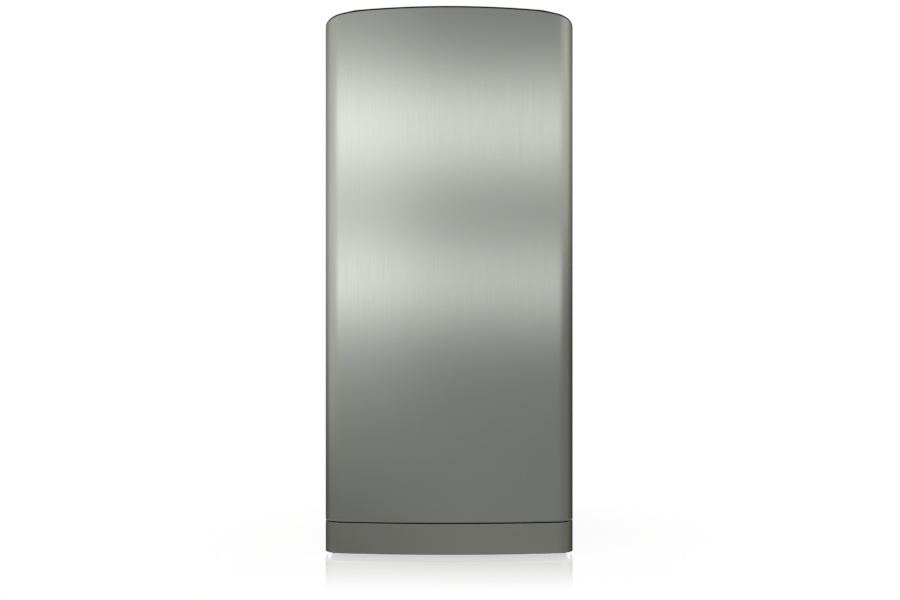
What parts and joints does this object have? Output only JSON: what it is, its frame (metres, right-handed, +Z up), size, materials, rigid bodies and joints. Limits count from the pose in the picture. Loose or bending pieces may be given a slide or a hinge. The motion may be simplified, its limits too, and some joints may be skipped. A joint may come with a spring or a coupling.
{
  "type": "fridge freezer",
  "caption": "Bow-fronted brushed-steel fridge with an inner ice compartment behind one hinged door, on levelling feet and rear rollers.",
  "frame": {"origin": "on the floor under the middle of the overall box", "axes": "+Z up, +X to the right seen from the front, the door faces -Y"},
  "size_m": [0.55, 0.63, 1.2076],
  "materials": {
    "brushed_stainless": "brushed stainless sheet, grain running up the door",
    "silver_plinth": "brushed stainless sheet, rolled duller than the door",
    "silver_plastic": "moulded ABS, silver-grey",
    "case_paint": "silver-grey powder coat, fine orange peel",
    "galvanised_steel": "galvanised sheet with a faint spangle",
    "black_plastic": "moulded ABS, fine spark texture",
    "white_liner": "vacuum-formed HIPS",
    "foam": "rigid polyurethane foam",
    "gasket": "extruded soft PVC with a magnet strip",
    "shelf_glass": "toughened float glass",
    "clear_plastic": "clear moulded polystyrene",
    "white_plastic": "moulded ABS",
    "evaporator": "roll-bonded aluminium",
    "hinge_steel": "zinc-plated pressed steel",
    "bush_plastic": "acetal",
    "compressor_black": "black stoved enamel",
    "rubber_black": "moulded rubber",
    "condenser_black": "black dipped paint on steel wire and tube",
    "copper": "drawn copper, slightly tarnished",
    "lamp_glass": "lamp glass and cap",
    "roller_plastic": "moulded nylon"
  },
  "bodies": {
    "cabinet": {"case_side_right": "case_paint", "case_side_left": "case_paint", "case_top": "case_paint", "cabinet_foam": "foam", "inner_liner": "white_liner", "back_panel": "galvanised_steel", "bottom_pan": "galvanised_steel", "base_rail_right": "galvanised_steel", "base_rail_left": "galvanised_steel", "front_crossmember": "galvanised_steel", "compressor_plate": "galvanised_steel", "roller_axles": "hinge_steel", "plinth": "silver_plinth", "lower_hinge": "hinge_steel", "upper_hinge": "hinge_steel", "hinge_screws": "hinge_steel", "hinge_cover": "black_plastic", "shelf_glass": "shelf_glass", "shelf_trims": "white_plastic", "crisper_cover": "shelf_glass", "freezer_box": "evaporator", "freezer_frame": "white_plastic", "control_housing": "white_plastic", "lamp_bulb": "lamp_glass", "lamp_cover": "clear_plastic", "light_switch_body": "white_plastic", "compressor": "compressor_black", "compressor_grommets": "rubber_black", "terminal_cover": "black_plastic", "cord_inlet": "black_plastic", "evaporating_tray": "black_plastic", "drain_spout": "white_plastic", "discharge_pipe": "copper", "suction_pipe": "copper", "condenser": "condenser_black", "condenser_brackets": "black_plastic", "filter_drier": "copper"},
    "door": {"door_skin": "brushed_stainless", "door_foam": "foam", "door_liner": "white_liner", "door_top_cap": "black_plastic", "door_bottom_cap": "silver_plastic", "door_gasket": "gasket", "grip_insert": "black_plastic", "hinge_bushes": "bush_plastic", "egg_shelf": "clear_plastic", "egg_tray": "white_plastic", "upper_bin": "clear_plastic", "middle_bin": "clear_plastic", "bottle_bin": "clear_plastic"},
    "flap": {"freezer_flap": "white_plastic"},
    "crisper": {"crisper_drawer": "clear_plastic"},
    "chiller": {"chiller_tray": "clear_plastic"},
    "knob": {"thermostat_knob": "white_plastic"},
    "button": {"defrost_button": "black_plastic"},
    "plunger": {"switch_plunger": "white_plastic"},
    "right_foot": {"foot_right": "rubber_black"},
    "left_foot": {"foot_left": "rubber_black"},
    "right_roller": {"roller_right": "roller_plastic"},
    "left_roller": {"roller_left": "roller_plastic"}
  },
  "joints": [
    {"name": "door_hinge", "type": "hinge", "parent": "cabinet", "child": "door", "pos_m": [0.257, -0.24071, 0.62], "axis": [0, 0, 1], "range_deg": [0, 110]},
    {"name": "flap_hinge", "type": "hinge", "parent": "cabinet", "child": "flap", "pos_m": [0.203, -0.12381, 0.995], "axis": [0, 0, 1], "range_deg": [0, 88]},
    {"name": "crisper_slide", "type": "slide", "parent": "cabinet", "child": "crisper", "axis": [0, -1, 0], "range_m": [0, 0.11]},
    {"name": "chiller_slide", "type": "slide", "parent": "cabinet", "child": "chiller", "axis": [0, -1, 0], "range_m": [0, 0.1655]},
    {"name": "plunger_slide", "type": "slide", "parent": "cabinet", "child": "plunger", "axis": [0, -1, 0], "range_m": [0, 0.006]},
    {"name": "knob_turn", "type": "hinge", "parent": "cabinet", "child": "knob", "pos_m": [0.205, -0.08871, 0.795], "axis": [0, -1, 0], "range_deg": [0, 270]},
    {"name": "button_push", "type": "slide", "parent": "cabinet", "child": "button", "axis": [0, 1, 0], "range_m": [0, 0.003], "stiffness_N_per_m": 400},
    {"name": "right_foot_turn", "type": "hinge", "parent": "cabinet", "child": "right_foot", "pos_m": [0.215, -0.18971, 0.006], "axis": [0, 0, 1], "continuous": true},
    {"name": "left_foot_turn", "type": "hinge", "parent": "cabinet", "child": "left_foot", "pos_m": [-0.215, -0.18971, 0.006], "axis": [0, 0, 1], "continuous": true},
    {"name": "right_roller_spin", "type": "hinge", "parent": "cabinet", "child": "right_roller", "pos_m": [0.2575, 0.225, 0.015], "axis": [1, 0, 0], "continuous": true},
    {"name": "left_roller_spin", "type": "hinge", "parent": "cabinet", "child": "left_roller", "pos_m": [-0.2575, 0.225, 0.015], "axis": [1, 0, 0], "continuous": true}
  ],
  "couplings": [
    {"joint": "flap_hinge", "follows": "door_hinge", "ratio": 0.8},
    {"joint": "crisper_slide", "follows": "door_hinge", "m_per_rad": 0.057},
    {"joint": "chiller_slide", "follows": "door_hinge", "m_per_rad": 0.086},
    {"joint": "plunger_slide", "follows": "door_hinge", "m_per_rad": 0.003}
  ]
}
